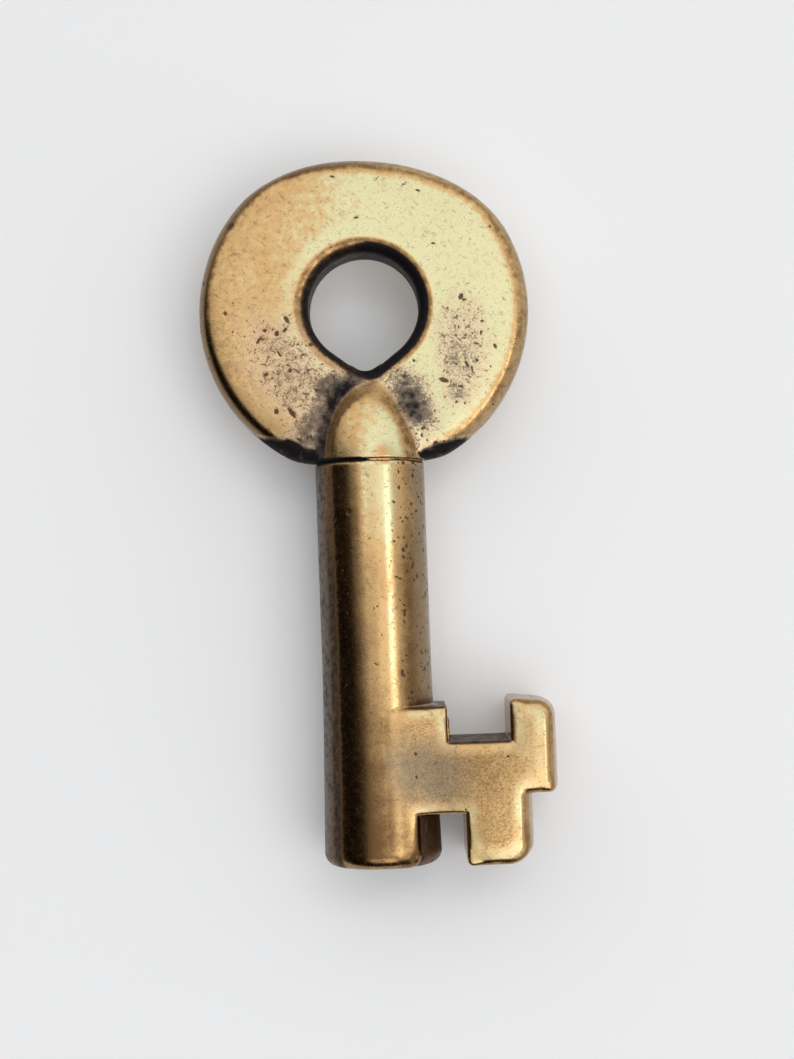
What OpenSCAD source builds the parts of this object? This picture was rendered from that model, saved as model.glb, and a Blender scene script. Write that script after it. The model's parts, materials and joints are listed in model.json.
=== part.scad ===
// Railroad switch key: a cast brass bow with a domed shoulder, a drilled brass barrel that swells
// towards its mouth, and a warded bit saddled on the barrel. The bow's tenon and the bit's tongue
// sit in the barrel and are brazed there.
// The key lies flat. The origin is the centre of the barrel's mouth, +Y runs up the barrel to the
// bow, +X points the way the bit reaches, and +Z comes out of the bow's face. Sizes in millimetres.

/* [Barrel] */
// Length of the barrel, from its mouth to its upper end
barrel_len = 34.25; // [30:0.05:42]
// Diameter of the barrel at its upper end
shank_d = 9.4; // [9:0.1:10.4]
// Diameter of the barrel at its mouth, where it swells to carry the bit
mouth_d = 10.1; // [9.8:0.1:11.4]
// Length of the swelling, from the mouth
swell_len = 17; // [15:0.5:22]
// Rounding of the mouth's outer edge
mouth_round = 1.1; // [0.3:0.1:1.4]
// Chamfer at the barrel's upper end, which shows as the seam under the dome
seam_chamfer = 0.2; // [0.1:0.05:0.4]
// Diameter of the bore for the lock's drill pin
pin_bore_d = 6.4; // [5:0.1:6.8]
// Depth of the full bore, to where the drill's point begins
pin_bore_depth = 21.5; // [16:0.5:22]
// Point angle of the drill
drill_angle = 118; // [100:1:150]

/* [Bow] */
// Diameter of the bow
bow_d = 28.4; // [25:0.2:34]
// Thickness of the bow
bow_thick = 5.1; // [4.2:0.1:6.4]
// Rounding of the bow's rim
bow_edge = 1.6; // [0.4:0.1:1.9]
// Height of the worn crown above the centre of the hole
crown_height = 12.85; // [12:0.05:14]
// Radius of the worn crown
crown_r = 20; // [15:0.5:26]
// Tilt of the worn crown towards the bit's side, in degrees
crown_tilt = 7; // [-15:1:15]
// How far the rim stands out past the barrel's sides at the shoulder
rim_ledge = 1.15; // [0.2:0.05:1.6]
// How far the centre of the hole lies above the rim's
hole_rise = 0.25; // [0:0.05:0.6]
// Diameter of the ring hole
hole_d = 9.4; // [7:0.1:11]
// Rounding of the ring hole's edges
hole_edge = 1.2; // [0.3:0.1:1.6]
// How far the foot of the hole is drawn out to a point
hole_point = 0.85; // [0.3:0.05:0.95]
// Rounding of that point
hole_point_r = 1.5; // [0.8:0.1:2]
// Radius of the arc that forms the domed shoulder
dome_arc_r = 12.3; // [9:0.1:18]

/* [Joints] */
// Diameter of the bow's tenon
tenon_d = 5; // [4:0.1:5.6]
// Depth of the tenon's socket in the barrel
socket_depth = 7.5; // [5:0.5:8]
// Clearance at the foot of the socket
socket_relief = 0.4; // [0.2:0.1:1]
// Thickness of the braze under the shoulder
seam_braze = 0.15; // [0.1:0.05:0.3]
// Clearance round the tenon and the tongue, and under the bit's saddle
braze_gap = 0.05; // [0.03:0.01:0.1]
// Thickness of the bit's tongue
tongue_thick = 3.2; // [2.4:0.1:4.5]
// Setback of the tongue from the ends of the bit's root
tongue_setback = 1.2; // [0.8:0.1:2]
// Wall left between the tongue's seat and the bore
seat_wall = 0.75; // [0.6:0.05:0.9]

/* [Bit] */
// Thickness of the bit
bit_thick = 8.9; // [8:0.1:9.2]
// Reach of the bit's tip from the barrel's axis
bit_reach = 15.1; // [14.5:0.1:19]
// Height of the bit's outer tooth above the mouth
bit_height = 13.7; // [12.5:0.1:14.5]
// Height of the bit's root above the mouth
root_height = 13.4; // [12.4:0.1:14.4]
// Inner side of the upper notch, from the barrel's axis
top_notch_x = 5.8; // [5.5:0.1:7]
// Width of the upper notch
top_notch_w = 5.25; // [3:0.05:6]
// Height of the upper notch's floor above the mouth
top_notch_floor = 10.4; // [8.5:0.1:11.5]
// Inner side of the lower notch, from the barrel's axis
low_notch_x = 3.1; // [2.9:0.1:4]
// Width of the lower notch
low_notch_w = 3.95; // [3:0.05:5]
// Height of the lower notch
low_notch_h = 4.4; // [3:0.1:5.5]
// Reach of the lower tooth from the barrel's axis
step_reach = 12.9; // [12.2:0.1:14]
// Height of the step between the two teeth's ends
step_height = 5.9; // [4.5:0.1:8]
// Rounding of the bit's upper and lower edges
bit_edge = 0.7; // [0.2:0.1:1]
// Rounding of the outer tooth's upper corner
tip_corner = 1.1; // [0.3:0.1:1.6]
// Rounding of the lower tooth's outer corner
toe_corner = 1.5; // [0.3:0.1:2]
// Rounding of the other corners
small_corner = 0.4; // [0.2:0.1:0.8]

/* [Hidden] */
$fn = 96;
// Overrun of a cut past the face it opens
over = 1;
shank_r = shank_d / 2;
mouth_r = mouth_d / 2;
pin_bore_r = pin_bore_d / 2;
drill_tip = pin_bore_r / tan(drill_angle / 2);
shoulder_y = barrel_len + seam_braze;
tenon_r = tenon_d / 2;
socket_r = tenon_r + braze_gap;
bow_r = bow_d / 2;
bow_half = bow_thick / 2;
// The rim of the bow ends at the shoulder, on a small ledge at each side of the barrel
rim_y = shoulder_y + sqrt(pow(bow_r, 2) - pow(shank_r + rim_ledge, 2));
hole_y = rim_y + hole_rise;
hole_r = hole_d / 2;
bit_half = bit_thick / 2;
// The bit's cheeks start where its faces meet the shank's round
root_x = sqrt(pow(shank_r, 2) - pow(bit_half, 2));
top_notch_end = top_notch_x + top_notch_w;
low_notch_end = low_notch_x + low_notch_w;
tongue_low = low_notch_h + tongue_setback;
tongue_high = root_height - tongue_setback;
seat_x = pin_bore_r + seat_wall;

cast_brass = "#b8924a";
turned_brass = "#a9843f";
braze_brown = "#7a5230";

// Stands what is drawn round Z along the barrel's axis
module along_barrel() {
    rotate([-90, 0, 0]) children();
}

// A disc with a rounded rim
module rounded_disc(r, half, edge) {
    rotate_extrude() {
        translate([0, -half]) square([r - edge, 2 * half]);
        translate([0, edge - half]) square([r, 2 * (half - edge)]);
        for (side = [-1, 1])
            translate([r - edge, side * (half - edge)]) circle(edge);
    }
}

// A round hole through a plate, with rounded edges at both faces
module eased_hole(r, half, edge) {
    rotate_extrude() {
        difference() {
            translate([0, -half - over]) square([r + edge, 2 * (half + over)]);
            translate([r, edge - half]) square([edge + over, 2 * (half - edge)]);
            for (side = [-1, 1])
                translate([r + edge, side * (half - edge)]) circle(edge);
        }
    }
}

// The drawn-out foot of the ring hole: two lines that leave the hole's circle and the point's
// small circle without a kink
module hole_foot() {
    point_y = hole_r + hole_point - hole_point_r;
    lean = acos((hole_r - hole_point_r) / point_y);
    function on_side(r, side) = [side * r * sin(lean), -r * cos(lean)];
    linear_extrude(2 * bow_thick, center = true) {
        translate([0, -point_y]) circle(hole_point_r);
        polygon([
            [0, 0],
            on_side(hole_r, -1),
            on_side(hole_point_r, -1) - [0, point_y],
            on_side(hole_point_r, 1) - [0, point_y],
            on_side(hole_r, 1)
        ]);
    }
}

// The ring of the bow before it is pierced: a round plate whose crown is worn flatter
module bow_ring() {
    intersection() {
        translate([0, rim_y, 0]) rounded_disc(bow_r, bow_half, bow_edge);
        translate([0, hole_y, 0]) rotate(-crown_tilt) translate([0, crown_height - crown_r, 0])
            rounded_disc(crown_r, bow_half, bow_edge);
    }
}

// The shoulder's dome: an arc that leaves the shank's side without a kink, spun round the axis
module dome() {
    translate([0, shoulder_y, 0]) along_barrel() rotate_extrude() intersection() {
        translate([shank_r - dome_arc_r, 0]) circle(dome_arc_r);
        square([shank_r, dome_arc_r]);
    }
}

module bow() {
    tenon_len = socket_depth - socket_relief + seam_braze;
    color(cast_brass) union() {
        difference() {
            union() {
                bow_ring();
                dome();
            }
            translate([0, hole_y, 0]) {
                eased_hole(hole_r, bow_half, hole_edge);
                hole_foot();
            }
            translate([-bow_r, shoulder_y - bow_r, -bow_r]) cube([bow_d, bow_r, bow_d]);
        }
        translate([0, shoulder_y - tenon_len, 0]) along_barrel()
            cylinder(r = tenon_r, h = tenon_len + over);
    }
}

module shoulder_braze() {
    color(braze_brown) translate([0, barrel_len, 0]) along_barrel() difference() {
        cylinder(r = shank_r - seam_chamfer, h = seam_braze);
        translate([0, 0, -over]) cylinder(r = socket_r, h = seam_braze + 2 * over);
    }
}

// The barrel before it is drilled. grow makes the larger body that clears it
module barrel_blank(grow = 0) {
    edge_x = mouth_r - mouth_round;
    along_barrel() rotate_extrude() {
        translate([edge_x, mouth_round]) circle(mouth_round + grow);
        polygon([
            [0, -grow],
            [edge_x, -grow],
            [edge_x, mouth_round],
            [mouth_r + grow, mouth_round],
            [shank_r + grow, swell_len],
            [shank_r + grow, barrel_len - seam_chamfer],
            [shank_r + grow - seam_chamfer, barrel_len],
            [0, barrel_len]
        ]);
    }
}

// The bit's tongue. grow makes the seat that takes it
module tongue(grow = 0) {
    low_corner = [seat_x + braze_gap, tongue_low, -tongue_thick / 2];
    high_corner = [mouth_r + over, tongue_high, tongue_thick / 2];
    translate(low_corner - grow * [1, 1, 1]) cube(high_corner - low_corner + 2 * grow * [1, 1, 1]);
}

module barrel() {
    color(turned_brass) difference() {
        barrel_blank();
        along_barrel() {
            translate([0, 0, -over]) cylinder(r = pin_bore_r, h = pin_bore_depth + over);
            translate([0, 0, pin_bore_depth]) cylinder(r1 = pin_bore_r, r2 = 0, h = drill_tip);
            translate([0, 0, barrel_len - socket_depth])
                cylinder(r = socket_r, h = socket_depth + over);
        }
        tongue(braze_gap);
    }
}

// What rounding takes off a square corner at a point. way gives the side of the point, in X and Y,
// on which the metal lies
module corner_waste(at, way, r) {
    translate(at) mirror([way[0] < 0 ? 1 : 0, 0]) mirror([0, way[1] < 0 ? 1 : 0]) difference() {
        translate([-over, -over]) square(r + over);
        translate([r, r]) circle(r);
    }
}

// The bit's outline: a plate with a notch from above, a notch from below and a stepped end
module bit_outline() {
    difference() {
        translate([root_x, 0]) square([bit_reach - root_x, bit_height]);
        translate([0, root_height]) square([top_notch_x, bit_height]);
        translate([top_notch_x, top_notch_floor]) square([top_notch_w, bit_height]);
        translate([low_notch_x, -over]) square([low_notch_w, low_notch_h + over]);
        translate([step_reach, -over]) square([bit_reach, step_height + over]);
        corner_waste([top_notch_end, bit_height], [1, -1], small_corner);
        corner_waste([top_notch_x, root_height], [-1, -1], small_corner);
        corner_waste([low_notch_end, 0], [1, 1], small_corner);
    }
}

// The round ends of the bit: what its two teeth sweep as the key turns in the lock, with the outer
// corners rounded
module swept_ends() {
    along_barrel() rotate_extrude() difference() {
        square([bit_reach, bit_height]);
        translate([step_reach, -over]) square([bit_reach, step_height + over]);
        corner_waste([bit_reach, bit_height], [-1, -1], tip_corner);
        corner_waste([bit_reach, step_height], [-1, 1], small_corner);
        corner_waste([step_reach, 0], [-1, 1], toe_corner);
    }
}

// The bit's height and thickness with its upper and lower edges rounded
module eased_slab() {
    rotate([90, 0, 90]) linear_extrude(bit_reach) {
        translate([bit_edge, -bit_half]) square([bit_height - 2 * bit_edge, bit_thick]);
        translate([0, bit_edge - bit_half]) square([bit_height, bit_thick - 2 * bit_edge]);
        for (y = [bit_edge, bit_height - bit_edge], side = [-1, 1])
            translate([y, side * (bit_half - bit_edge)]) circle(bit_edge);
    }
}

module bit() {
    color(cast_brass) union() {
        difference() {
            intersection() {
                linear_extrude(bit_thick, center = true) bit_outline();
                swept_ends();
                eased_slab();
            }
            barrel_blank(braze_gap);
        }
        tongue();
    }
}

bow();
shoulder_braze();
barrel();
bit();
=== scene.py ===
# An old brass switch key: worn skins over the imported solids, procedural brass, soft light and a camera.
# Shapes are worked out in millimetres, in the frame's axes: +Y up the barrel, +X towards the bit and
# +Z out of the bow's face. Left is the side away from the bit. Colours are linear.
import json
import math

import bpy
import numpy as np
import openvdb
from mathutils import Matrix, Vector, noise


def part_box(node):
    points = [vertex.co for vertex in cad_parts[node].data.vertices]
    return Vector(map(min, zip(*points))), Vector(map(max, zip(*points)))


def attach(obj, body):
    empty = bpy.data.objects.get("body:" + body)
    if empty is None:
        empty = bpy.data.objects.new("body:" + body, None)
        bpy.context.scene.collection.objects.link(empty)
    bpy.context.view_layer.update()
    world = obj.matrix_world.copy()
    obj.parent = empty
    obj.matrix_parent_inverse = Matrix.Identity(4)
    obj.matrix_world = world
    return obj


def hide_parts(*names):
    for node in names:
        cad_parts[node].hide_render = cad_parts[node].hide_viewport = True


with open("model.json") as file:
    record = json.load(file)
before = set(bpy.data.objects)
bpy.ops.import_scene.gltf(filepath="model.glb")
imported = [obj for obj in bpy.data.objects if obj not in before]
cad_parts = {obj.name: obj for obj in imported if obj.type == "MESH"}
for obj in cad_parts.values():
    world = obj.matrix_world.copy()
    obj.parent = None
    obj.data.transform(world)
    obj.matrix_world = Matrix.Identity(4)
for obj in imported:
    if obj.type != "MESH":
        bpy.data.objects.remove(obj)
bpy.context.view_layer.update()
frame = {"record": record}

MM = 0.001
rng = np.random.default_rng(7)


def corners(node):
    """Lowest and highest corner of a CAD node, in millimetres."""
    low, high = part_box(node)
    return low / MM, high / MM


# Sizes that the frame gives
mounts = {m["name"]: m for m in frame["record"]["mounts"]}
BARREL_LEN = corners("barrel")[1].y
MOUTH_R = corners("barrel")[1].x
SHOULDER_Y = corners("shoulder_braze")[1].y
BRAZE_R = corners("shoulder_braze")[1].x
SHANK_R = corners("bow")[1].z
TENON_LOW = corners("bow")[0].y
BIT_REACH = corners("bit")[1].x
BIT_HEIGHT = corners("bit")[1].y
BIT_HALF = corners("bit")[1].z
FLOOR_Z = corners("barrel")[0].z
HOLE_Y = mounts["ring_hole"]["pos_m"][1] / MM
HOLE_R = mounts["ring_hole"]["dims"]["r_mm"]
BORE_R = mounts["pin_bore"]["dims"]["r_mm"]
BORE_DEPTH = mounts["pin_bore"]["dims"]["length_mm"]

# Sizes that are the same in the solids
BOW_R = 14.2
BOW_HALF = 2.55
HOLE_EDGE = 1.2
CROWN_R = 20.0
CROWN_HEIGHT = 12.85
CROWN_TILT = math.radians(7)
HOLE_RISE = 0.25
HOLE_POINT = 0.85
HOLE_POINT_R = 1.5
DOME_ARC_R = 12.3
TENON_R = 2.5
SOCKET_R = 2.55
SOCKET_DEPTH = 7.5
SWELL_LEN = 17.0
MOUTH_ROUND = 1.1
SEAM_CHAMFER = 0.2
DRILL_ANGLE = math.radians(118)
ROOT_HEIGHT = 13.4
TOP_NOTCH = (5.8, 11.05)
TOP_NOTCH_FLOOR = 10.4
LOW_NOTCH = (3.1, 7.05)
LOW_NOTCH_HEIGHT = 4.4
STEP_REACH = 12.9
STEP_HEIGHT = 5.9
BRAZE_GAP = 0.05

# Roundings of the worn forms, which the solids have sharper, larger or not at all
BOW_EDGE = 1.25
CROWN_CORNER = 1.0
DOME_FILLET = 0.5
SHOULDER_EDGE = 0.08
LEDGE_EDGE = 0.6
BORE_EDGE = 0.35
TIP_CORNER = 1.45
TOE_CORNER = 1.75
SMALL_CORNER = 0.5
ROOT_CORNER = 1.0

# The corners of the bit's tongue, which is hidden in the barrel
TONGUE_LOW = (3.95, 5.6, -1.6)
TONGUE_HIGH = (6.0, 12.2, 1.6)


# Distance fields: negative inside the metal, in millimetres

def rounded_and(a, b, r):
    """Where both solids are, with the edge between them rounded."""
    return np.minimum(np.maximum(a, b), -r) + np.hypot(np.maximum(a + r, 0), np.maximum(b + r, 0))


def blended_or(a, b, k):
    """Either solid, with a smooth blend over a band k where they meet."""
    dirt_and_shade_band = np.maximum(k - np.abs(a - b), 0)
    return np.minimum(a, b) - dirt_and_shade_band * dirt_and_shade_band / (4 * k)


def smooth(low, high, value):
    """0 at low and before it, 1 at high and past it, with soft ends. low may be above high."""
    t = np.clip((value - low) / (high - low), 0, 1)
    return t * t * (3 - 2 * t)


def barrel_turn(x, z):
    """The turn about the barrel's axis, in degrees from its front towards the bit."""
    return np.degrees(np.arctan2(x, z))


def box_field(low, high, x, y, z):
    """A sharp block between two corners."""
    sides = [np.maximum(a - c, c - b) for a, b, c in zip(low, high, (x, y, z))]
    return np.maximum(np.maximum(sides[0], sides[1]), sides[2])


def hole_field(u, v):
    """The ring hole's outline, negative in the hole: a round whose foot is drawn out to a blunt point."""
    u = np.abs(u)
    point_v = HOLE_R + HOLE_POINT - HOLE_POINT_R
    fall = (HOLE_R - HOLE_POINT_R) / point_v
    run = math.sqrt(1 - fall * fall)
    along = -v * run - u * fall
    round_part = np.hypot(u, v) - HOLE_R
    point_part = np.hypot(u, v + point_v) - HOLE_POINT_R
    straight_part = u * run - v * fall - HOLE_R
    return np.where(along < 0, round_part, np.where(along > run * point_v, point_part, straight_part))


def dome_field(x, y, z):
    """The shoulder's dome, an arc spun round the barrel's axis."""
    return np.hypot(np.hypot(x, z) + DOME_ARC_R - SHANK_R, y - SHOULDER_Y) - DOME_ARC_R


def rim_field(x, y):
    """The bow's outline: a round whose crown is worn flatter."""
    v = y - HOLE_Y
    drop = CROWN_HEIGHT - CROWN_R
    crown = np.hypot(x - drop * math.sin(CROWN_TILT), v - drop * math.cos(CROWN_TILT)) - CROWN_R
    return rounded_and(np.hypot(x, v + HOLE_RISE) - BOW_R, crown, CROWN_CORNER)


# How far the bow's face falls towards its rim, over what width, and how late
FACE_DROP = 0.45
FACE_DROP_WIDTH = 4.2
FACE_DROP_POWER = 2.5
# How far the tenon's field runs up into the dome
TENON_OVERLAP = 1


def bow_field(x, y, z):
    """The bow: a pierced ring with the dome blended on, and the tenon."""
    rim = rim_field(x, y)
    hole = hole_field(x, y - HOLE_Y)
    drop = FACE_DROP * np.clip(1 + rim / FACE_DROP_WIDTH, 0, 1) ** FACE_DROP_POWER
    face = np.abs(z) - BOW_HALF + drop
    ring = np.maximum(rounded_and(rim, face, BOW_EDGE), rounded_and(-hole, face, HOLE_EDGE))
    ring = rounded_and(ring, SHOULDER_Y - y, LEDGE_EDGE)
    dome = np.maximum(dome_field(x, y, z), -hole)
    body = rounded_and(blended_or(ring, dome, DOME_FILLET), SHOULDER_Y - y, SHOULDER_EDGE)
    tenon_ends = np.maximum(TENON_LOW - y, y - SHOULDER_Y - TENON_OVERLAP)
    tenon = np.maximum(np.hypot(x, z) - TENON_R, tenon_ends)
    return np.minimum(body, tenon)


# How late the swelling grows towards the mouth
SWELL_POWER = 1.3


def barrel_radius(y):
    """The barrel swells towards its mouth."""
    return SHANK_R + (MOUTH_R - SHANK_R) * np.clip(1 - y / SWELL_LEN, 0, 1) ** SWELL_POWER


def barrel_blank_field(x, y, z):
    """The barrel before it is drilled."""
    side = np.hypot(x, z) - barrel_radius(y)
    return rounded_and(rounded_and(side, -y, MOUTH_ROUND), y - BARREL_LEN, SEAM_CHAMFER)


def barrel_field(x, y, z):
    """The barrel with its bore, the tenon's socket and the seat of the bit's tongue."""
    r = np.hypot(x, z)
    drill_point = y - BORE_DEPTH - (BORE_R - r) / math.tan(DRILL_ANGLE / 2)
    bore = np.maximum(r - BORE_R, drill_point)
    body = rounded_and(barrel_blank_field(x, y, z), -bore, BORE_EDGE)
    socket = np.maximum(r - SOCKET_R, BARREL_LEN - SOCKET_DEPTH - y)
    seat_low = [c - BRAZE_GAP for c in TONGUE_LOW]
    seat_high = [c + BRAZE_GAP for c in TONGUE_HIGH]
    seat = box_field(seat_low, seat_high, x, y, z)
    return np.maximum(np.maximum(body, -socket), -seat)


def notch_field(sides, x, end):
    """A notch between two sides, negative in the gap. end is negative on its open way."""
    middle = sum(sides) / 2
    return np.maximum(np.abs(x - middle) - sides[1] + middle, end)


# The root's lower corner is worn rounder, over these heights and distances from the axis
ROOT_WORN_HEIGHTS = (2.0, 1.0)
ROOT_WORN_SIDE = (5.0, 4.0)


def bit_outline_field(x, y, reach):
    """The bit's outline on its plate: two notches and a stepped, swept end."""
    tip = rounded_and(reach - BIT_REACH, y - BIT_HEIGHT, TIP_CORNER)
    tip = rounded_and(tip, STEP_HEIGHT - y, SMALL_CORNER)
    toe = rounded_and(rounded_and(reach - STEP_REACH, -y, TOE_CORNER), y - BIT_HEIGHT, SMALL_CORNER)
    outline = blended_or(tip, toe, SMALL_CORNER)
    root_waste = np.maximum(x - TOP_NOTCH[0], ROOT_HEIGHT - y)
    top_waste = np.minimum(notch_field(TOP_NOTCH, x, TOP_NOTCH_FLOOR - y), root_waste)
    low_waste = notch_field(LOW_NOTCH, x, y - LOW_NOTCH_HEIGHT)
    outline = rounded_and(outline, -top_waste, SMALL_CORNER)
    at_root = smooth(*ROOT_WORN_HEIGHTS, y) * smooth(*ROOT_WORN_SIDE, x)
    return rounded_and(outline, -low_waste, SMALL_CORNER + (ROOT_CORNER - SMALL_CORNER) * at_root)


# The bit's faces fall towards their edges as a soft pillow. A blurred map of the face gives its form: how
# much of the neighbourhood of each place is metal
BIT_DROP = 0.28
PILLOW_BLUR = 1.15
PILLOW_POWER = 1.5
BLUR_REACH = 4 * PILLOW_BLUR
MAP_LOW = -4.0
MAP_STEP = 0.1
MAP_COUNT = 220
MAP_ROOT = 1.5


def blurred_face():
    """The share of metal round each place of a square map of the bit's face, half on a straight edge."""
    along = MAP_LOW + MAP_STEP * np.arange(MAP_COUNT)
    x, y = np.meshgrid(along, along, indexing="ij")
    on_bit = bit_outline_field(x, y, np.hypot(x, BIT_HALF)) < 0
    share = (on_bit | ((x < MAP_ROOT) & (y > 0))).astype(float)
    reach = np.arange(-BLUR_REACH, BLUR_REACH, MAP_STEP)
    weights = np.exp(-0.5 * (reach / PILLOW_BLUR) ** 2)
    weights /= weights.sum()
    for axis in (0, 1):
        share = np.apply_along_axis(np.convolve, axis, share, weights, mode="same")
    return share


FACE_SHARE = blurred_face()


def face_share(x, y):
    """Reads the map of the bit's face between its points."""
    u = np.clip((x - MAP_LOW) / MAP_STEP, 0, MAP_COUNT - 2)
    v = np.clip((y - MAP_LOW) / MAP_STEP, 0, MAP_COUNT - 2)
    i = u.astype(int)
    j = v.astype(int)
    near = FACE_SHARE[i, j] + (u - i) * (FACE_SHARE[i + 1, j] - FACE_SHARE[i, j])
    far = FACE_SHARE[i, j + 1] + (u - i) * (FACE_SHARE[i + 1, j + 1] - FACE_SHARE[i, j + 1])
    return near + (v - j) * (far - near)


# The faces rise to meet the barrel's crest without a kink between these distances from the axis
CREST_RISE = (4.8, 0.8)
CREST_GAP = 0.06
# Rounding of the bit's edges in the notches, and of its worn edges at the tip and the toe
NOTCH_EDGE = 0.35
WORN_EDGE = 0.6
WORN_REACH = (11.6, 12.6)
WORN_TOE_HEIGHTS = (2.6, 1.2)
WORN_TOE_SIDE = (7.4, 8.8)
# Below these heights, the root's edge is as round as the barrel's mouth
MOUTH_EDGE_HEIGHTS = (1.8, 0.6)
MOUTH_EDGE_SIDE = (LOW_NOTCH[0] + 0.1, LOW_NOTCH[0] - 0.6)


def plate_field(x, y, z):
    """The bit as a plate that runs on into the barrel."""
    reach = np.hypot(x, z)
    outline = bit_outline_field(x, y, reach)
    drop = BIT_DROP * np.clip(2 - 2 * face_share(x, y), 0, 1) ** PILLOW_POWER
    rise = (barrel_radius(y) - CREST_GAP - BIT_HALF) * smooth(*CREST_RISE, x)
    worn_toe = smooth(*WORN_TOE_HEIGHTS, y) * smooth(*WORN_TOE_SIDE, x)
    worn = np.maximum(smooth(*WORN_REACH, reach), worn_toe)
    edge = NOTCH_EDGE + (WORN_EDGE - NOTCH_EDGE) * worn
    edge += (MOUTH_ROUND - edge) * smooth(*MOUTH_EDGE_HEIGHTS, y) * smooth(*MOUTH_EDGE_SIDE, x)
    return rounded_and(outline, np.abs(z) - BIT_HALF - rise + drop, edge)


# The bit is dressed flush with the barrel: it blends into it and feathers out under its surface, a
# little way past the plate and, on the crest, between two distances from the axis
SADDLE_BLEND = 0.12
SADDLE_SINK = 0.15
SADDLE_START = 0.2
FEATHER = 0.018
FEATHER_ENDS = (1.9, 0.35)


def bit_field(x, y, z):
    """The bit: the plate, dressed on the barrel as a saddle, and its tongue."""
    barrel = barrel_blank_field(x, y, z)
    plate = plate_field(x, y, z)
    dressed = np.maximum(blended_or(barrel, plate, SADDLE_BLEND), -y)
    past = np.maximum(smooth(*FEATHER_ENDS, x), smooth(SADDLE_BLEND, 2 * SADDLE_BLEND, plate))
    saddle = np.maximum(dressed + FEATHER * past, plate - 3 * SADDLE_BLEND)
    saddle = np.maximum(np.maximum(saddle, -barrel - SADDLE_SINK), SADDLE_START - x)
    return np.minimum(saddle, box_field(TONGUE_LOW, TONGUE_HIGH, x, y, z))


# The braze fills the seam flush over a short stretch of the front, and lies deeper elsewhere
BRAZE_TURN = 12.0
BRAZE_STRETCH = 12.0
BRAZE_FLUSH = 0.015
# How full the seam is on the bit's side, where 1 is flush, and the turns where that starts and ends
BRAZE_SIDE = 0.7
BRAZE_SIDE_START = (10, 25)
BRAZE_SIDE_END = (110, 80)
BRAZE_HALF = 0.6


def braze_field(x, y, z):
    """The ring of braze between the bow and the barrel."""
    r = np.hypot(x, z)
    turn = barrel_turn(x, z)
    flush = smooth(BRAZE_STRETCH * 1.3, BRAZE_STRETCH * 0.8, np.abs(turn - BRAZE_TURN))
    beside = BRAZE_SIDE * smooth(*BRAZE_SIDE_START, turn) * smooth(*BRAZE_SIDE_END, turn)
    rise = (SHANK_R - BRAZE_FLUSH - BRAZE_R) * np.maximum(flush, beside)
    ring = np.maximum(np.maximum(r - BRAZE_R - rise, SOCKET_R - r), np.abs(y - SHOULDER_Y) - BRAZE_HALF)
    return np.maximum(ring, -np.minimum(barrel_blank_field(x, y, z), bow_field(x, y, z)))


# Skins: a mesh on a field's zero surface

# Spacing of the points of each skin
BOW_VOXEL = 0.145
BARREL_VOXEL = 0.15
BIT_VOXEL = 0.1025
BRAZE_VOXEL = 0.08
# How often the points are drawn on to the surface, and the steps that measure its slope and its bend
SETTLE_ROUNDS = 3
SLOPE_STEP = 0.01
BEND_STEP = 0.3


def slopes(field, points, step):
    """A field's value, unit gradient and curvature at points, by differences over a step."""
    here = field(*points.T)
    gradient = np.empty_like(points)
    total = -6 * here
    for axis in range(3):
        shift = np.zeros(3)
        shift[axis] = step
        ahead = field(*(points + shift).T)
        behind = field(*(points - shift).T)
        gradient[:, axis] = (ahead - behind) / (2 * step)
        total += ahead + behind
    gradient /= np.maximum(np.linalg.norm(gradient, axis=1, keepdims=True), 1e-6)
    return here, gradient, total / step ** 2


def skin(field, low, high, voxel):
    """Points and quads on the field's zero surface."""
    axes = [np.arange(a - 3 * voxel, b + 4 * voxel, voxel) for a, b in zip(low, high)]
    grid = openvdb.FloatGrid()
    grid.copyFromArray(field(*np.meshgrid(*axes, indexing="ij")).astype(np.float32))
    points, quads = grid.convertToQuads(0.0)
    points = points.astype(float) * voxel + [a[0] for a in axes]
    for _ in range(SETTLE_ROUNDS):
        value, normal = slopes(field, points, SLOPE_STEP)[:2]
        points -= np.clip(value, -voxel, voxel)[:, None] * normal
    return points, quads


def cloud(points, size, octaves=3):
    """Smooth noise of about -1 to 1 at points, with features of a size in millimetres."""
    return np.array([noise.fractal(Vector(p), 1.0, 2.0, octaves) for p in points / size])


def ellipse(x, y, centre, half, turn=0.0):
    """1 at the centre of a soft-edged ellipse, 0 outside it. turn is in degrees."""
    c = math.cos(math.radians(turn))
    s = math.sin(math.radians(turn))
    u = x - centre[0]
    v = y - centre[1]
    return smooth(1.4, 0.2, np.hypot((u * c + v * s) / half[0], (v * c - u * s) / half[1]))


# What the masks on each skin place, and the highest value they keep. Tarnish, stain and grime carry painted
# shade as well, and tarnish and wear carry painted highlight
MASKS = ("tarnish_and_light", "stain_and_shade", "dull", "grime_and_shade", "wear", "pits", "copper", "satin")
MASK_MOST = 2
# How far out the points of a pit are looked for, in half lengths
PIT_REACH = 1.4
# What keeps the search for a place on the front away from the back
BACK_PENALTY = 10


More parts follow.
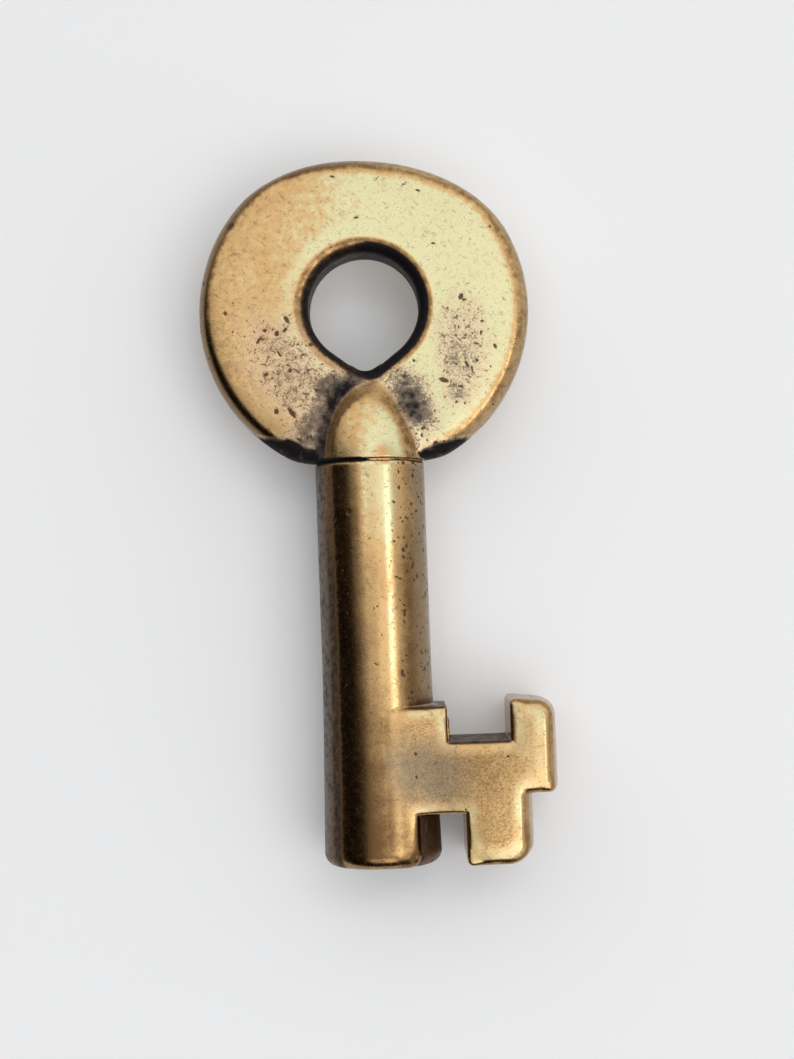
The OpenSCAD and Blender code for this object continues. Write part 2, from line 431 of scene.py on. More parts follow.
class Surface:
    """The points of a skin as it is worn: their normals, the bend of the metal there, and the masks."""

    def __init__(self, field, low, high, voxel):
        self.points, self.quads = skin(field, low, high, voxel)
        _, self.normal, self.bend = slopes(field, self.points, BEND_STEP)
        self.masks = {mask: np.zeros(len(self.points)) for mask in MASKS}

    def sink(self, depth):
        """Moves the points into the metal by a depth."""
        self.points -= depth[:, None] * self.normal

    def ripple(self, size, depth):
        """Sinks the surface by an uneven depth, as hand filing and wear leave it."""
        self.sink(depth * (0.5 + 0.5 * np.clip(cloud(self.points, size), -1, 1)))

    def pit(self, centre, along, half, depth):
        """Sinks one pit with a length and a width, and marks it in the pits mask."""
        near = np.abs(self.points - centre).max(axis=1) < half[0] * PIT_REACH
        away = self.points[near] - centre
        run = away @ along
        side = np.sqrt(np.maximum((away * away).sum(axis=1) - run * run, 0))
        dip = smooth(1.3, 0.3, np.hypot(run / half[0], side / half[1]))
        self.points[near] -= (depth * dip)[:, None] * self.normal[near]
        pits = self.masks["pits"]
        pits[near] = np.maximum(pits[near], dip)

    def scatter(self, count, weight, size, depth):
        """Sinks pits of random lengths, widths and directions, likelier where weight is high."""
        for chosen in rng.choice(len(self.points), count, p=weight / weight.sum()):
            along = np.cross(self.normal[chosen], rng.normal(size=3))
            along = along / np.linalg.norm(along)
            length = size * rng.uniform(0.45, 1.0)
            width = length * rng.uniform(0.45, 0.9)
            self.pit(self.points[chosen].copy(), along, (length, width), depth * length / size)

    def pit_front(self, pits, depth):
        """Sinks pits in the front, each given by its x, y, half length, half width and turn in degrees."""
        for x, y, length, width, turn in pits:
            along = np.array([math.cos(math.radians(turn)), math.sin(math.radians(turn)), 0])
            away = np.hypot(self.points[:, 0] - x, self.points[:, 1] - y)
            away += BACK_PENALTY * (self.points[:, 2] < 0)
            self.pit(self.points[np.argmin(away)].copy(), along, (length, width), depth)


def make_piece(name, node, surface, material):
    """A mesh piece that stands for a CAD node, with its masks as point attributes."""
    mesh = bpy.data.meshes.new(name)
    mesh.from_pydata(surface.points * MM, [], surface.quads.tolist())
    for mask, values in surface.masks.items():
        values = np.clip(values, 0, MASK_MOST).astype(np.float32)
        mesh.attributes.new(mask, "FLOAT", "POINT").data.foreach_set("value", values)
    mesh.polygons.foreach_set("use_smooth", np.ones(len(surface.quads), bool))
    mesh.materials.append(material)
    piece = bpy.data.objects.new(name, mesh)
    bpy.context.scene.collection.objects.link(piece)
    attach(piece, "root")
    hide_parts(node)


# Materials

# The colour sockets of a Mix node
MIX_A = 6
MIX_B = 7
MIX_RESULT = 2


class Nodes:
    """A short way to write a material's nodes."""

    def __init__(self, name):
        self.material = bpy.data.materials.new(name)
        self.material.use_nodes = True
        self.tree = self.material.node_tree
        self.shader = self.tree.nodes["Principled BSDF"]

    def set(self, socket, value):
        """Links a socket to a node's output, or sets its value."""
        if isinstance(value, bpy.types.NodeSocket):
            self.tree.links.new(value, socket)
        elif isinstance(value, tuple) and len(value) == 3 and len(socket.default_value) == 4:
            socket.default_value = (*value, 1)
        else:
            socket.default_value = value

    def add(self, kind, inputs, **settings):
        """Adds a node with its settings and inputs."""
        node = self.tree.nodes.new(kind)
        for name, value in settings.items():
            setattr(node, name, value)
        for socket, value in inputs.items():
            self.set(node.inputs[socket], value)
        return node

    def mask(self, name):
        """The value of a mask on the mesh."""
        return self.add("ShaderNodeAttribute", {}, attribute_name=name).outputs["Fac"]

    def place(self, stretch=(1, 1, 1), turn=0.0):
        """The point on the object in millimetres, turned about Z and then stretched."""
        point = self.add("ShaderNodeTexCoord", {}).outputs["Object"]
        turned = self.add("ShaderNodeVectorRotate", {"Vector": point, "Angle": math.radians(turn)})
        inputs = {0: turned.outputs[0], 1: tuple(s / MM for s in stretch)}
        return self.add("ShaderNodeVectorMath", inputs, operation="MULTIPLY").outputs[0]

    def noise(self, place, size, detail=3.0, rough=0.55, warp=0.0):
        """Noise of about 0 to 1, with features of a size in millimetres."""
        inputs = {"Vector": place, "Scale": 1 / size, "Detail": detail}
        inputs.update({"Roughness": rough, "Distortion": warp})
        return self.add("ShaderNodeTexNoise", inputs).outputs["Fac"]

    def math(self, operation, a, b=0.0):
        """One calculation with two values."""
        return self.add("ShaderNodeMath", {0: a, 1: b}, operation=operation).outputs[0]

    def ramp(self, value, low, high, least=0.0, most=1.0):
        """Runs smoothly from least, where value is low, to most, where it is high."""
        inputs = {"Value": value, "From Min": low, "From Max": high, "To Min": least, "To Max": most}
        return self.add("ShaderNodeMapRange", inputs, interpolation_type="SMOOTHSTEP").outputs[0]

    def mix(self, factor, a, b):
        """A colour between a, where factor is 0, and b, where it is 1."""
        node = self.add("ShaderNodeMix", {"Factor": factor}, data_type="RGBA")
        self.set(node.inputs[MIX_A], a)
        self.set(node.inputs[MIX_B], b)
        return node.outputs[MIX_RESULT]


PALE_BRASS = (0.74, 0.69, 0.40)
TAN_BRASS = (0.66, 0.42, 0.185)
# Brown patina, also used as painted shade
BROWN_PATINA_AND_SHADE = (0.20, 0.11, 0.045)
STAIN = (0.70, 0.51, 0.34)
# Dense stain, also used as painted shade
DENSE_STAIN_AND_SHADE = (0.13, 0.10, 0.085)
# Dark grey stain, also used as painted shade on the barrel's shaded flank
FLANK_STAIN_AND_SHADE = (0.085, 0.072, 0.058)
FLECK = (0.10, 0.06, 0.032)
DULL = (0.30, 0.235, 0.15)
COPPER = (0.62, 0.34, 0.15)
# Black grime, also used as painted shade
BLACK_GRIME_AND_SHADE = (0.010, 0.008, 0.009)

# Sizes of the metal's uneven tarnish, its blotches, its grain and the dots in the stains
BROAD_SIZE = 2.6
BLOTCH_SIZE = 0.6
FINE_SIZE = 0.16
DOT_SIZE = 0.13
# Layers of flecks and short nicks: stretch, turn and size
FLECK_LAYERS = [
    ((1, 0.42, 0.6), 32, 0.21),
    ((1, 0.38, 0.7), -48, 0.26),
    ((1, 0.5, 0.7), 75, 0.36),
    ((1, 0.9, 0.7), 10, 0.17),
]
# Height of the fine relief
RELIEF = 0.02


def brass_material(name, gloss, mottle, stain_colour=STAIN):
    """Old brass: pale where it is rubbed and under painted highlight, tan and brown where it has tarnished
    and under painted shade, and satin, stained, pitted or grimy where the masks say, the stains and grime
    holding painted shade too. gloss is the roughness of the clean metal, and mottle how uneven its tarnish
    is."""
    n = Nodes(name)
    place = n.place()
    tarnish_and_light, stain_and_shade, dull, grime_and_shade, wear, pits, copper, satin = (n.mask(m) for m in MASKS)
    broad = n.noise(place, BROAD_SIZE, 2.0)
    blotch = n.noise(place, BLOTCH_SIZE, 4.0, 0.6)
    fine = n.noise(place, FINE_SIZE, 3.0, 0.65)

    # Colour of the metal, with painted shade where the tarnish is high and painted highlight where it is
    # low or worn
    rubbed_and_highlight = n.math("MULTIPLY", wear, n.ramp(blotch, 0.3, 0.6, 0.4, 1.0))
    tan = n.math("ADD", tarnish_and_light, n.ramp(broad, 0.3, 0.7, -0.12, 0.12))
    tan = n.math("ADD", tan, n.ramp(blotch, 0.3, 0.7, -mottle, mottle))
    tan = n.math("SUBTRACT", tan, rubbed_and_highlight)
    colour = n.mix(n.ramp(tan, 0.0, 1.0), PALE_BRASS, TAN_BRASS)
    brown = n.ramp(n.math("ADD", tan, n.ramp(fine, 0.3, 0.7, -0.1, 0.1)), 0.9, 2.0)
    colour = n.mix(brown, colour, BROWN_PATINA_AND_SHADE)
    dulled = n.math("MULTIPLY", dull, n.ramp(blotch, 0.3, 0.7, 0.6, 1.0))
    colour = n.mix(dulled, colour, DULL)
    grained = n.math("MULTIPLY", satin, n.ramp(fine, 0.35, 0.68, 0.0, 0.6))
    colour = n.mix(grained, colour, BROWN_PATINA_AND_SHADE)
    coppery = n.math("MULTIPLY", copper, n.ramp(blotch, 0.2, 0.7, 0.5, 1.0))
    colour = n.mix(coppery, colour, COPPER)

    # Stains, with painted shade in them: a dull bloom that turns dense and dark
    cloudy = n.math("ADD", stain_and_shade, n.ramp(blotch, 0.25, 0.75, -0.18, 0.18))
    cloudy = n.math("ADD", cloudy, n.ramp(broad, 0.3, 0.7, -0.12, 0.12))
    bloom = n.math("MULTIPLY", n.ramp(cloudy, 0.0, 0.8), n.ramp(stain_and_shade, 0.0, 0.3))
    stained = n.math("MULTIPLY", bloom, n.ramp(fine, 0.4, 0.62, 0.45, 0.95))
    colour = n.mix(stained, colour, stain_colour)
    dense = n.ramp(n.math("ADD", cloudy, n.ramp(fine, 0.35, 0.65, -0.16, 0.16)), 0.68, 1.15)
    colour = n.mix(n.math("MULTIPLY", dense, 0.85), colour, DENSE_STAIN_AND_SHADE)
    black = n.ramp(cloudy, 1.05, 1.6)
    colour = n.mix(black, colour, BLACK_GRIME_AND_SHADE)

    # Flecks and short nicks in several directions and sizes, which crowd together in the stains
    layers = [n.noise(n.place(stretch, turn), size, 2.0, 0.55, 0.1) for stretch, turn, size in FLECK_LAYERS]
    flecks = layers[0]
    for layer in layers[1:]:
        flecks = n.math("MAXIMUM", flecks, layer)
    faint = n.ramp(flecks, 0.61, 0.74, 0.0, 0.38)
    crowd = n.math("MULTIPLY", bloom, n.ramp(dense, 0.0, 1.0, 0.15, 0.05))
    flecks = n.math("ADD", flecks, crowd)
    flecks = n.math("MULTIPLY", n.ramp(flecks, 0.735, 0.82), n.ramp(blotch, 0.3, 0.6, 0.4, 0.9))
    dots = n.ramp(n.noise(place, DOT_SIZE, 1.5, 0.5), 0.6, 0.68, 0.0, 0.6)
    dots = n.math("MULTIPLY", dots, bloom)
    pitted = n.math("MULTIPLY", pits, n.ramp(fine, 0.3, 0.7, 0.7, 1.3))
    pitted = n.ramp(pitted, 0.3, 0.6, 0.0, 0.95)
    marks = n.math("MAXIMUM", n.math("MAXIMUM", flecks, faint), n.math("MAXIMUM", dots, pitted))
    colour = n.mix(n.math("MULTIPLY", marks, n.math("SUBTRACT", 1.0, black)), colour, FLECK)

    # Grime and painted shade in the hollows, a little broken up at their edges
    dirt_and_shade = n.math("ADD", grime_and_shade, n.ramp(blotch, 0.25, 0.75, -0.07, 0.07))
    dirt_and_shade = n.ramp(n.math("ADD", dirt_and_shade, n.ramp(fine, 0.3, 0.7, -0.05, 0.05)), 0.1, 0.95)
    dirt_and_shade = n.math("MULTIPLY", dirt_and_shade, n.ramp(grime_and_shade, 0.0, 0.2))
    thin_dirt_and_shade = n.math("MULTIPLY", n.ramp(dirt_and_shade, 0.0, 0.5), n.math("SUBTRACT", 1.0, dense))
    colour = n.mix(thin_dirt_and_shade, colour, BROWN_PATINA_AND_SHADE)
    colour = n.mix(n.ramp(dirt_and_shade, 0.25, 0.9), colour, BLACK_GRIME_AND_SHADE)
    dirt_and_shade = n.math("MAXIMUM", dirt_and_shade, black)
    n.set(n.shader.inputs["Base Color"], colour)

    # Shine: duller where the metal is satin, stained, marked, dirty or painted with shade
    rough = n.ramp(blotch, 0.25, 0.75, gloss - 0.04, gloss + 0.05)
    for mask, more in ((bloom, 0.12), (dulled, 0.1), (satin, 0.05), (dirt_and_shade, 0.3), (marks, 0.2)):
        rough = n.math("ADD", rough, n.math("MULTIPLY", mask, more))
    n.set(n.shader.inputs["Roughness"], rough)
    n.set(n.shader.inputs["Metallic"], n.ramp(dirt_and_shade, 0.3, 0.9, 1.0, 0.4))
    n.set(n.shader.inputs["Specular IOR Level"], n.ramp(dirt_and_shade, 0.3, 0.9, 0.5, 0.2))

    # Fine relief: the metal's grain and the flecks
    grain = n.math("ADD", n.ramp(bloom, 0.0, 1.0, 0.3, 0.8), n.math("MULTIPLY", satin, 0.3))
    relief = n.math("SUBTRACT", n.math("MULTIPLY", fine, grain), n.math("MULTIPLY", marks, 1.4))
    bump = n.add("ShaderNodeBump", {"Height": relief, "Strength": 0.35, "Distance": RELIEF * MM})
    n.set(n.shader.inputs["Normal"], bump.outputs[0])
    return n.material


bow_brass = brass_material("bow_brass", gloss=0.23, mottle=0.26)
barrel_brass = brass_material("barrel_brass", gloss=0.21, mottle=0.1, stain_colour=FLANK_STAIN_AND_SHADE)
bit_brass = brass_material("bit_brass", gloss=0.21, mottle=0.1)
braze_brass = brass_material("braze_brass", gloss=0.33, mottle=0.1)


# The bow

# Pits on the bow's front that stand out: x and y from the hole's centre, half length, half width, turn
BOW_PITS = [
    (-6.53, -0.97, 0.48, 0.2, -60),
    (-6.47, -8.85, 0.68, 0.2, -58),
    (6.65, -6.61, 0.55, 0.24, -20),
    (-8.48, -5.61, 0.26, 0.2, 10),
    (-9.07, -2.68, 0.4, 0.16, 60),
    (-7.3, -3.9, 0.4, 0.12, -60),
    (8.57, -5.27, 0.42, 0.16, -62),
    (9.03, -5.75, 0.4, 0.12, -85),
    (8.37, 0.53, 0.36, 0.22, 60),
    (-11.14, 7.25, 0.5, 0.3, 35),
    (-2.3, 11.2, 0.3, 0.12, -20),
    (1.6, 11.0, 0.34, 0.1, 40),
    (3.9, 10.3, 0.4, 0.1, 32),
]
# Stains on the bow's faces: strength, centre from the hole's, half sizes and turn
BOW_STAINS = [
    (0.8, (-6.5, -5.4), (6.6, 3.9), -56),
    (0.8, (8.3, -4.0), (2.7, 5.6), 0),
    (0.9, (7.7, -7.6), (1.6, 1.6), 0),
    (1.35, (3.7, -8.2), (3.7, 2.2), -62),
]


def make_bow():
    """The bow's skin."""
    low = (-BOW_R, TENON_LOW, -SHANK_R)
    high = (BOW_R, HOLE_Y + CROWN_HEIGHT, SHANK_R)
    bow = Surface(bow_field, low, high, BOW_VOXEL)
    x, y, z = bow.points.T
    v = y - HOLE_Y
    off_middle = np.abs(z)
    hole = hole_field(x, v)
    rim = -rim_field(x, y)
    left = smooth(1.0, -1.0, x)
    far_left = smooth(6.0, -8.0, x)
    off_dome = np.maximum(dome_field(x, y, z), 0)
    on_dome = smooth(0.25, 0.05, off_dome)
    at_face = smooth(BOW_HALF + 0.6, BOW_HALF, off_middle)
    at_face *= smooth(BOW_HALF - 0.9, BOW_HALF - 0.4, off_middle)

    # Stains below the hole, which turn black beside the dome and on the low walls: there, in the crease at
    # the dome's foot and on the low walls that face the floor, the black is stain and painted shade
    spread = np.maximum.reduce([strength * ellipse(x, v, *shape) for strength, *shape in BOW_STAINS])
    by_dome = smooth(-4.3, -6.0, v) * smooth(4.1, 3.0, off_middle)
    off_flank = smooth(BOW_HALF + 0.55, BOW_HALF + 0.2, off_middle)
    # Stain and painted shade: a dark band in the crease on the dome's left
    dirt_and_shade_band = 1.15 * smooth(4.2, 0.8, off_dome) + 0.3 * smooth(0.9, 0.1, off_dome)
    low_width = (1.25 + 0.35 * left) * smooth(9.3 + 0.9 * left, 5.5, np.abs(x))
    low_width += 0.15 * cloud(bow.points, 1.2)
    # Stain and painted shade: the low walls that face the floor, black
    low_wall_stain_and_shade = smooth(low_width + 0.3, low_width - 0.3, rim) * (0.95 + 0.12 * cloud(bow.points, 0.9))
    low_wall_stain_and_shade *= smooth(-8.5, -10.5, v) * smooth(0.0, 0.2, off_dome)
    bow.masks["stain_and_shade"] = np.maximum.reduce([
        spread * at_face,
        dirt_and_shade_band * left * by_dome * off_flank,
        1.1 * smooth(0.7, 0.05, off_dome) * by_dome * (1 - on_dome),
        1.75 * low_wall_stain_and_shade,
    ])

    # Grime along the seam, and grime with painted shade on the hole's wall and on the dome's left flank
    # Grime and painted shade: the hole's wall dark
    hole_wall_dirt_and_shade = (0.85 - 0.15 * left) * smooth(1.15 - 0.1 * left, 0.7 - 0.3 * left, hole)
    seam_height = 0.2 + 0.2 * smooth(-0.5, -3.5, x)
    seam = on_dome * smooth(seam_height, 0.3 * seam_height, y - SHOULDER_Y) * smooth(-0.1, -0.9, x)
    # Grime and painted shade: the dome's left flank darker
    dome_flank_dirt_and_shade = 0.4 * on_dome * left * smooth(3.9, 3.2, off_middle) * smooth(1.0, -1.5, x)
    bow.masks["grime_and_shade"] = np.maximum.reduce([hole_wall_dirt_and_shade, seam, dome_flank_dirt_and_shade])

    # Tarnish with painted shade: more on the left, towards the rim and most on its left, at the hole's
    # edge, and round the dome, most on its left half and its flanks
    inner_rim = (0.08 + 0.08 * far_left) * smooth(4.4, 1.2, rim) * smooth(-9.5, -6.0, v)
    # Tarnish and painted shade: the face darker towards the left
    left_tarnish_and_shade = (0.9 * smooth(3, -9, x) + inner_rim) * (1 - on_dome)
    # Tarnish and painted shade: the rim darker, most on the left
    rim_tarnish_and_shade = smooth(1.9 + 0.4 * far_left, 0.9, rim) + (0.2 + 1.0 * far_left) * smooth(1.3, 0.5, rim)
    # Painted shade: a brown line on the right rim's roll, where its highlight falls
    rim_tarnish_and_shade += 0.25 * smooth(1.5, 1.1, rim) * smooth(0.45, 0.8, rim) * (1 - far_left)
    hole_tan = 1.6 * smooth(1.4, 1.1, hole)
    # Tarnish and painted shade: the dome darker on its left half and on its flanks
    dome_left_tarnish_and_shade = 0.9 * smooth(1.7, -1.7, x - 0.3 * (y - SHOULDER_Y - 2))
    dome_ring_tarnish_and_shade = (1.6 + 1.1 * left) * smooth(4.0, 3.2, off_middle)
    dome_tarnish_and_shade = on_dome * np.maximum(dome_left_tarnish_and_shade, dome_ring_tarnish_and_shade)
    bow.masks["tarnish_and_light"] = np.maximum.reduce([left_tarnish_and_shade, rim_tarnish_and_shade * (1 - on_dome), hole_tan, dome_tarnish_and_shade])

    # Dull at the rim, rubbed round the hole, and coppery at the flush stretch of braze
    bow.masks["dull"] = 0.6 * smooth(0.8, 0.25, rim) * (1 - on_dome)
    bow.masks["wear"] = 0.5 * smooth(2.8, 2.0, hole) * smooth(1.2, 1.5, hole)
    bow.masks["copper"] = on_dome * ellipse(x, y, (1.2, SHOULDER_Y + 0.4), (0.9, 0.9)) * (z > 0)

    bow.ripple(size=4.0, depth=0.04)
    bow.ripple(size=1.3, depth=0.008)
    likely = (0.1 + 2.0 * bow.masks["stain_and_shade"]) * (1 - on_dome)
    bow.scatter(count=170, weight=likely, size=0.3, depth=0.05)
    bow.pit_front([(px, HOLE_Y + pv, *shape) for px, pv, *shape in BOW_PITS], depth=0.06)
    make_piece("bow_skin", "bow", bow, bow_brass)


# The barrel

def braze_clear(x, z):
    """0 beside the flush stretch of braze, where no dirt lies, and 1 away from it."""
    off = np.abs(barrel_turn(x, z) - BRAZE_TURN)
    return smooth(BRAZE_STRETCH * 0.8, BRAZE_STRETCH * 1.4, off)


def barrel_tarnish_and_light(x, y, z):
    """How tarnished the barrel is, with painted light: browner towards the mouth, darker on its shaded side
    and its right flank as painted shade, and paler along its streak just right of the front and at its top
    in front as painted highlight.
    """
    turn = barrel_turn(x, z)
    # Painted shade: browner on the shaded side
    shaded = 1.2 * smooth(2, -46, turn) * smooth(-175, -130, turn)
    # Painted shade: browner on the right flank
    right_flank_shade = 0.7 * smooth(22, 42, turn) * smooth(165, 120, turn)
    front = smooth(70, 20, np.abs(turn))
    low = front * (0.55 * smooth(22, 6, y) + 0.22 * smooth(6, 2.5, y))
    # Painted highlight: paler at the top in front
    high = 0.7 * front * smooth(24, 32, y) * smooth(-15, -5, turn)
    # Painted highlight: paler along the streak just right of the front
    rubbed_and_highlight = 0.6 * np.exp(-((turn - 17) / 5) ** 2)
    return 1.1 + shaded + right_flank_shade + (low - high) - rubbed_and_highlight + 1.6 * smooth(1.4, 0.4, y)


def barrel_dull(x, z):
    """How dull the barrel's flanks are."""
    turn = np.abs(barrel_turn(x, z))
    return 0.7 * smooth(36, 60, turn) * smooth(150, 120, turn)


# Pits on the barrel's front that stand out: x, y, half length, half width, turn
BARREL_PITS = [
    (-0.06, 17.5, 0.3, 0.2, 80),
    (3.41, 25.25, 0.34, 0.22, 60),
    (3.72, 24.31, 0.28, 0.18, 85),
]


def make_barrel():
    """The barrel's skin."""
    barrel = Surface(barrel_field, (-MOUTH_R, 0, -MOUTH_R), (MOUTH_R, BARREL_LEN, MOUTH_R), BARREL_VOXEL)
    x, y, z = barrel.points.T
    turn = barrel_turn(x, z)
    plate = plate_field(x, y, z)
    inside = smooth(SHANK_R - 0.4, SHANK_R - 0.8, np.hypot(x, z))

    # Grime along the seam, darker inside, and grime with painted shade in the corner by the bit, in its
    # lower notch and in a band on the shaded side
    seam = smooth(BARREL_LEN - 0.4, BARREL_LEN, y) * np.where(x < 0, 0.6, 0.2) * braze_clear(x, z)
    # Grime and painted shade in the corner beside the bit
    corner_dirt_and_shade = smooth(1.6, 0.1, plate) * smooth(2.2, 2.8, x) * 0.65
    # Grime and painted shade in the lower notch
    notch_dirt_and_shade = smooth(LOW_NOTCH[0] - 0.2, LOW_NOTCH[0] + 0.3, x)
    notch_dirt_and_shade *= 0.55 * smooth(LOW_NOTCH_HEIGHT + 0.4, LOW_NOTCH_HEIGHT, y)
    # Grime and painted shade: a dark band on the shaded side
    dirt_and_shade_band = (0.5 + 0.13 * smooth(34, 22, y)) * smooth(-37, -46, turn) * smooth(-64, -51, turn)
    barrel.masks["grime_and_shade"] = np.maximum.reduce([seam, corner_dirt_and_shade, notch_dirt_and_shade, inside, dirt_and_shade_band])

    # A dense stain with painted shade on the shaded flank, dull flanks, rubbed edges and copper at the
    # flush braze
    barrel.masks["stain_and_shade"] = 1.1 * smooth(-46, -60, turn) * smooth(-160, -120, turn)
    barrel.masks["dull"] = barrel_dull(x, z)
    barrel.masks["tarnish_and_light"] = barrel_tarnish_and_light(x, y, z)
    barrel.masks["wear"] = smooth(0.5, 1.2, barrel.bend) * 0.5
    barrel.masks["copper"] = ellipse(x, y, (1.2, BARREL_LEN), (0.8, 0.5)) * (z > 0)

    barrel.ripple(size=5.0, depth=0.03)
    lit_flank = smooth(18, 32, turn) * smooth(95, 75, turn)
    shaded_flank = 0.6 * smooth(-45, -60, turn) * smooth(-100, -80, turn)
    flanks = lit_flank + shaded_flank
    open_metal = (plate > 0.5) * (1 - inside)
    barrel.scatter(count=150, weight=(0.05 + flanks) * open_metal, size=0.28, depth=0.028)
    barrel.scatter(count=110, weight=(0.3 + flanks) * open_metal, size=0.16, depth=0.02)
    barrel.pit_front(BARREL_PITS, depth=0.06)
    make_piece("barrel_skin", "barrel", barrel, barrel_brass)


# The bit

# Pits on the bit's front that stand out: x, y, half length, half width, turn
BIT_PITS = [
    (3.39, 9.37, 0.6, 0.14, 20),
    (10.73, 9.1, 0.16, 0.14, 0),
    (0.44, 4.09, 0.3, 0.2, 70),
]


def make_bit():
    """The bit's skin."""
    bit = Surface(bit_field, (0, 0, -MOUTH_R), (BIT_REACH, BIT_HEIGHT, MOUTH_R), BIT_VOXEL)
    x, y, z = bit.points.T
    flat = smooth(0.8, 0.97, np.abs(bit.normal[:, 2]))
    upward = smooth(0.3, 0.8, bit.normal[:, 1])
    off_barrel = smooth(0.02, 0.6, barrel_blank_field(x, y, z))
    inward = -bit_outline_field(x, y, np.hypot(x, z))
    outer = np.maximum(smooth(11.0, 12.5, x), smooth(2.5, 1.5, y) * smooth(6.0, 7.0, x))
    edge_width = 1.4 + 0.9 * outer
    near_edge = smooth(edge_width, 0.4 * edge_width, inward)

    # Grime on the walls, most on those that face up the barrel, the top notch's floor and the root's top
    # wall, where it is painted shade as well
    notch_floor = upward * smooth(TOP_NOTCH[0] - 0.3, TOP_NOTCH[0], x)
    notch_floor *= smooth(TOP_NOTCH[1] + 0.2, TOP_NOTCH[1] - 0.1, x)
    top_wall = upward * smooth(TOP_NOTCH[0] + 0.3, TOP_NOTCH[0], x)
    bit.masks["grime_and_shade"] = off_barrel * (1 - flat) * (0.15 + 0.45 * np.maximum(notch_floor, top_wall))

    # A satin face with a grey middle and rubbed edges, paler and less satin at its edges as wear and
    # painted highlight. The root has the barrel's looks, painted light included
    bit.masks["satin"] = off_barrel * (0.4 + 0.6 * flat) * (1 - 0.75 * near_edge)
    grey = 1.3 * flat * ellipse(x, y, (4.0, 7.8), (4.2, 3.1), -30)
    dull = np.maximum(grey, 0.7 * notch_floor)
    bit.masks["dull"] = np.maximum((1 - off_barrel) * barrel_dull(x, z), dull)
    face_tan = 1.0 + 0.5 * (1 - flat) + 0.5 * flat * ellipse(x, y, (5.5, 7.8), (5.2, 3.0), -5)
    bit.masks["tarnish_and_light"] = off_barrel * face_tan + (1 - off_barrel) * barrel_tarnish_and_light(x, y, z)
    patchy = np.clip(0.75 + 0.6 * cloud(bit.points, 3.0), 0.5, 1)
    # Wear and painted highlight: the face paler near its edges
    bit.masks["wear"] = 0.7 * off_barrel * flat * patchy * near_edge

    bit.ripple(size=5.0, depth=0.03)
    bit.scatter(count=26, weight=off_barrel, size=0.2, depth=0.035)
    bit.pit_front(BIT_PITS, depth=0.05)
    make_piece("bit_skin", "bit", bit, bit_brass)


# The braze in the seam

BRAZE_MARGIN = 0.1
BRAZE_REACH = 1
BRAZE_TARNISH = 1.4


def make_braze():
    """The braze's skin: dirty where it lies deep, clean and coppery where it is flush."""
    side = SHANK_R + BRAZE_MARGIN
    low = (-side, SHOULDER_Y - BRAZE_REACH, -side)
    high = (side, SHOULDER_Y + BRAZE_REACH, side)
    braze = Surface(braze_field, low, high, BRAZE_VOXEL)
    x, _, z = braze.points.T
    full = smooth(BRAZE_R + 0.02, SHANK_R - 0.1, np.hypot(x, z))
    flush = full * (1 - braze_clear(x, z))
    braze.masks["grime_and_shade"] = 0.9 - 0.9 * flush - 0.5 * (full - flush)
    braze.masks["tarnish_and_light"] = np.full(len(x), BRAZE_TARNISH)
    braze.masks["copper"] = flush
    make_piece("braze_skin", "shoulder_braze", braze, braze_brass)


make_bow()
make_barrel()
make_bit()
make_braze()


# Stage, light and camera

FLOOR_SIZE = 4.0
FLOOR_COLOUR = (0.855, 0.86, 0.87)
FLOOR_ROUGHNESS = 0.9
# The floor's own brightness in a view or a reflection, where 1 is white
FLOOR_LIFT = 0.075


def make_floor():
    """A plain pale floor under the barrel."""
    bpy.ops.mesh.primitive_plane_add(size=FLOOR_SIZE, location=(0, 0, FLOOR_Z * MM))
    floor = bpy.context.object
    floor.name = "floor"
    n = Nodes("pale_floor")
    n.set(n.shader.inputs["Base Color"], FLOOR_COLOUR)
    n.set(n.shader.inputs["Roughness"], FLOOR_ROUGHNESS)
    ray = n.add("ShaderNodeLightPath", {}).outputs
    mirrored = n.math("ADD", ray["Is Glossy Ray"], ray["Is Transmission Ray"])
    seen = n.math("MINIMUM", n.math("ADD", ray["Is Camera Ray"], mirrored), 1.0)
    n.set(n.shader.inputs["Emission Color"], (1, 1, 1))
    n.set(n.shader.inputs["Emission Strength"], n.math("MULTIPLY", seen, FLOOR_LIFT))
    floor.data.materials.append(n.material)


# The place along the key that the lamps hang over, the height of the highest, and the step between levels
MIDDLE_Y = 23.0
LAMP_HEIGHT = 600 * MM
LEVEL_STEP = 4 * MM
# The lamps: name, tilts along X, tilts along Y, radiance and level
PANELS = [
    ("overhead_panel", (-20, 29), (-1, 18), 0.34, 0),
    ("wide_panel", (-44, 29), (-1, 18), 0.22, 0),
    ("low_panel", (-27, 29), (0, 7), 0.2, 0),
    ("north_panel", (-70, 70), (18, 58), 0.3, 0),
    ("key_panel", (-2, 34), (20, 29), 3.0, 0),
    ("east_strip", (30, 43), (-35, 6), 1.85, 0),
    ("bit_panel", (5, 28), (-24, -2), 0.38, 0),
    ("toe_panel", (-6, 26), (-46, -10), 0.22, 1),
    ("toe_panel", (-2, 26), (-46, -11), 0.22, 2),
    ("toe_panel", (2, 26), (-46, -12), 0.22, 3),
    ("tip_panel", (8, 22), (-11, 4), 0.25, 4),
    ("left_panel", (-30, -9), (-34, -6), 0.5, 5),
    ("west_strip", (-19, -10), (1, 8), 0.4, 6),
    ("south_panel", (-25, 45), (-50, -16), 0.65, 0),
]


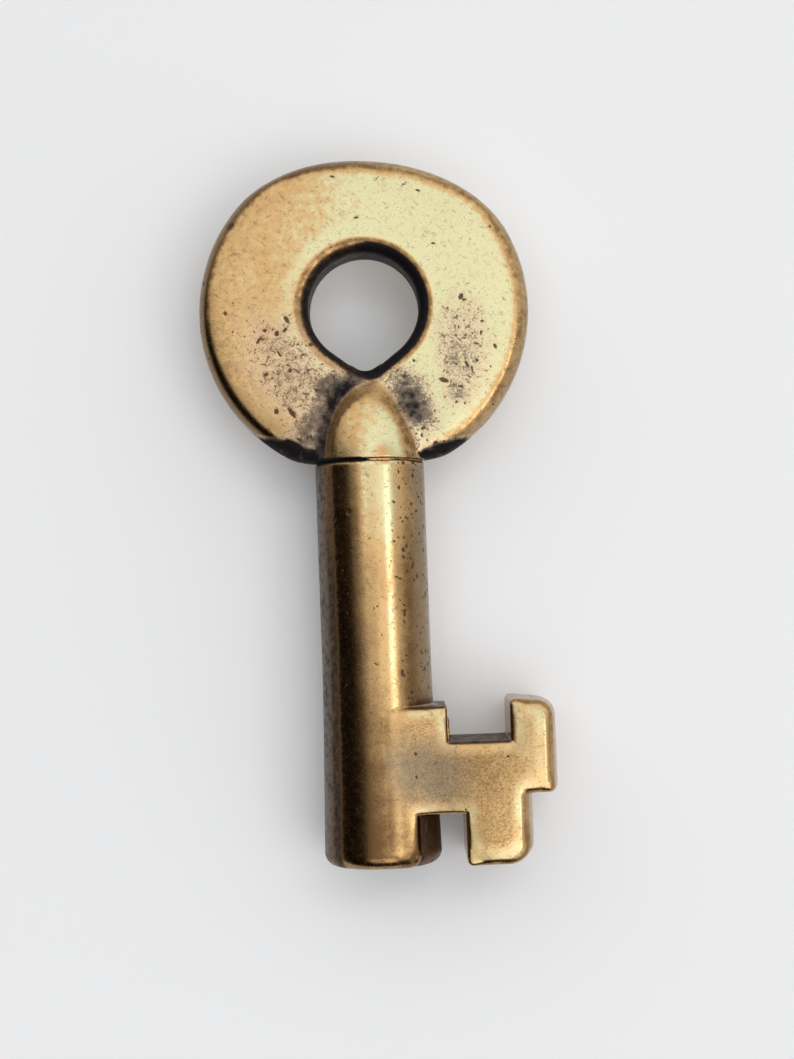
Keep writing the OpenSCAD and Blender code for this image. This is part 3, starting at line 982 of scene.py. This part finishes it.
def make_panel(name, tilts_x, tilts_y, radiance, level):
    """A lamp that hangs over the key and shines down, of a radiance where 1 is white. It fills the view
    from the key's middle between two tilts from upright, in degrees, along X and along Y. Where lamps of
    one level overlap, a reflection shows only one of them, and lamps of several levels add up."""
    height = LAMP_HEIGHT - level * LEVEL_STEP
    low_x, high_x = (height * math.tan(math.radians(t)) for t in tilts_x)
    low_y, high_y = (height * math.tan(math.radians(t)) for t in tilts_y)
    data = bpy.data.lights.new(name, "AREA")
    data.shape = "RECTANGLE"
    data.size = high_x - low_x
    data.size_y = high_y - low_y
    data.energy = radiance * math.pi * data.size * data.size_y
    holder = bpy.data.objects.new(name, data)
    holder.location = ((low_x + high_x) / 2, MIDDLE_Y * MM + (low_y + high_y) / 2, height)
    bpy.context.scene.collection.objects.link(holder)


# The world's shades: where along its bright way it is darkest and brightest, and how bright it is there
WORLD_BRIGHT_WAY = (1.0, 1.2, 0.0)
WORLD_SHADES = (-0.8, 0.0, 0.01, 0.71)


def make_world():
    """A pale room that is dark on the left and past the mouth's end of the key."""
    world = bpy.data.worlds.new("world")
    bpy.context.scene.world = world
    world.use_nodes = True
    tree = world.node_tree
    way = tree.nodes.new("ShaderNodeTexCoord")
    across = tree.nodes.new("ShaderNodeVectorMath")
    across.operation = "DOT_PRODUCT"
    across.inputs[1].default_value = WORLD_BRIGHT_WAY
    shade = tree.nodes.new("ShaderNodeMapRange")
    shade.interpolation_type = "SMOOTHSTEP"
    tree.links.new(way.outputs["Generated"], across.inputs[0])
    tree.links.new(across.outputs["Value"], shade.inputs["Value"])
    for socket, value in zip(("From Min", "From Max", "To Min", "To Max"), WORLD_SHADES):
        shade.inputs[socket].default_value = value
    tree.links.new(shade.outputs[0], tree.nodes["Background"].inputs["Strength"])
    tree.nodes["Background"].inputs["Color"].default_value = (1, 1, 1, 1)


# The camera is fitted to the key's sizes and their places in a picture of 794 x 1059 pixels
PICTURE_HEIGHT = 1059
FOCAL_PIXELS = 1750
SENSOR = 36.0
CLIP_START = 0.01
CAMERA_PLACE = (2.295, 22.822, 150.969)
CAMERA_TURN = (2.1507, 0.126, -2.1298)


def make_camera():
    """The camera at the photograph's viewing angle."""
    data = bpy.data.cameras.new("camera")
    data.sensor_width = SENSOR
    data.lens = SENSOR * FOCAL_PIXELS / PICTURE_HEIGHT
    data.clip_start = CLIP_START
    camera = bpy.data.objects.new("camera", data)
    camera.location = Vector(CAMERA_PLACE) * MM
    camera.rotation_euler = [math.radians(a) for a in CAMERA_TURN]
    bpy.context.scene.collection.objects.link(camera)
    bpy.context.scene.camera = camera


make_floor()
for lamp in PANELS:
    make_panel(*lamp)
make_world()
make_camera()
bpy.context.scene.view_settings.view_transform = "Standard"

bpy.context.view_layer.update()
